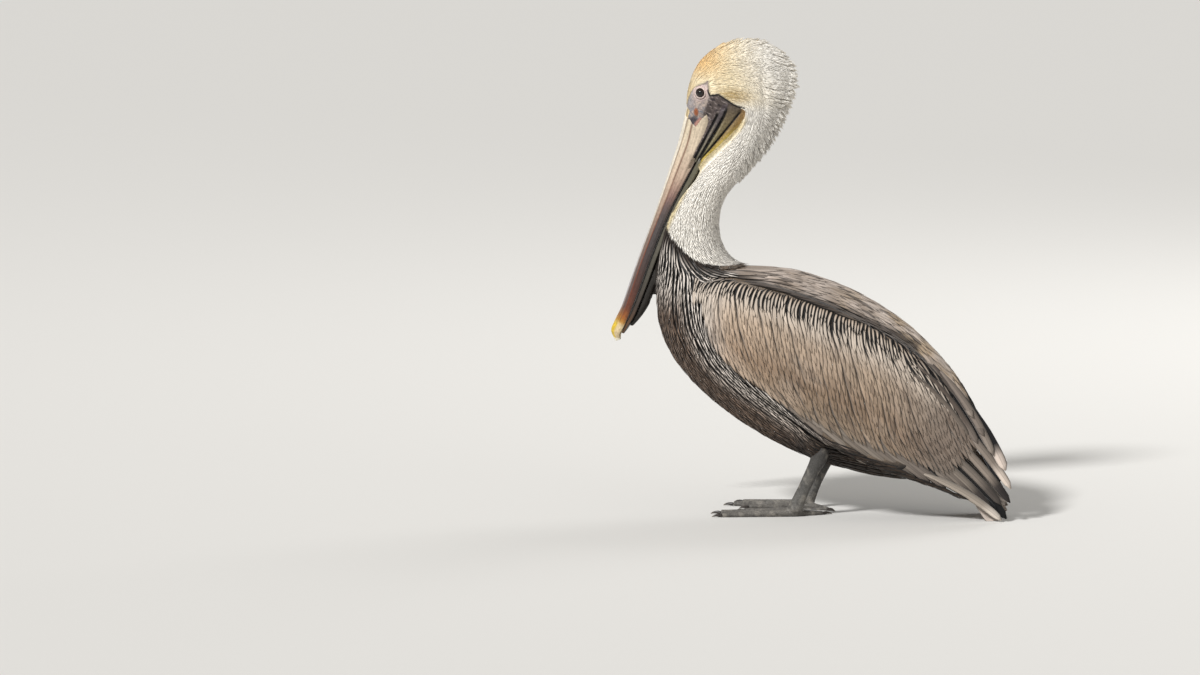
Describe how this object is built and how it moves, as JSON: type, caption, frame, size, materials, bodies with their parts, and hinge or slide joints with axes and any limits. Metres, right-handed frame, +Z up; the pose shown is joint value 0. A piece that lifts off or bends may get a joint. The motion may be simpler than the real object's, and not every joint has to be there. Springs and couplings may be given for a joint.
{
  "type": "brown pelican",
  "caption": "Life-size still model of a standing brown pelican with its long pouched bill laid along its neck and its wings folded.",
  "frame": {"origin": "on the floor, under the middle of the model's bounding box", "axes": "+Z up, -X the way the bird faces, +X towards the tail, +Y the bird's right-hand side"},
  "size_m": [0.519, 0.1918, 0.606],
  "materials": {
    "white_plumage": "matte",
    "cream_plumage": "matte",
    "grey_plumage": "matte",
    "dark_plumage": "matte",
    "bill_horn": "satin",
    "pouch_skin": "satin",
    "eye": "glossy",
    "leg_skin": "satin",
    "claw": "satin"
  },
  "bodies": {
    "root": {"bill_upper": "bill_horn", "bill_lower": "bill_horn", "pouch": "pouch_skin", "head": "cream_plumage", "neck_upper": "white_plumage", "neck_middle": "white_plumage", "neck_lower": "white_plumage", "trunk": "grey_plumage", "eye_left": "eye", "eye_right": "eye", "wing_left": "grey_plumage", "wing_right": "grey_plumage", "primaries_left": "dark_plumage", "primaries_right": "dark_plumage", "tail": "grey_plumage", "thigh_left": "dark_plumage", "thigh_right": "dark_plumage", "leg_left": "leg_skin", "leg_right": "leg_skin", "foot_left": "leg_skin", "foot_right": "leg_skin", "claw_outer_left": "claw", "claw_outer_right": "claw", "claw_middle_left": "claw", "claw_middle_right": "claw", "claw_inner_left": "claw", "claw_inner_right": "claw", "claw_hind_left": "claw", "claw_hind_right": "claw"}
  },
  "joints": []
}
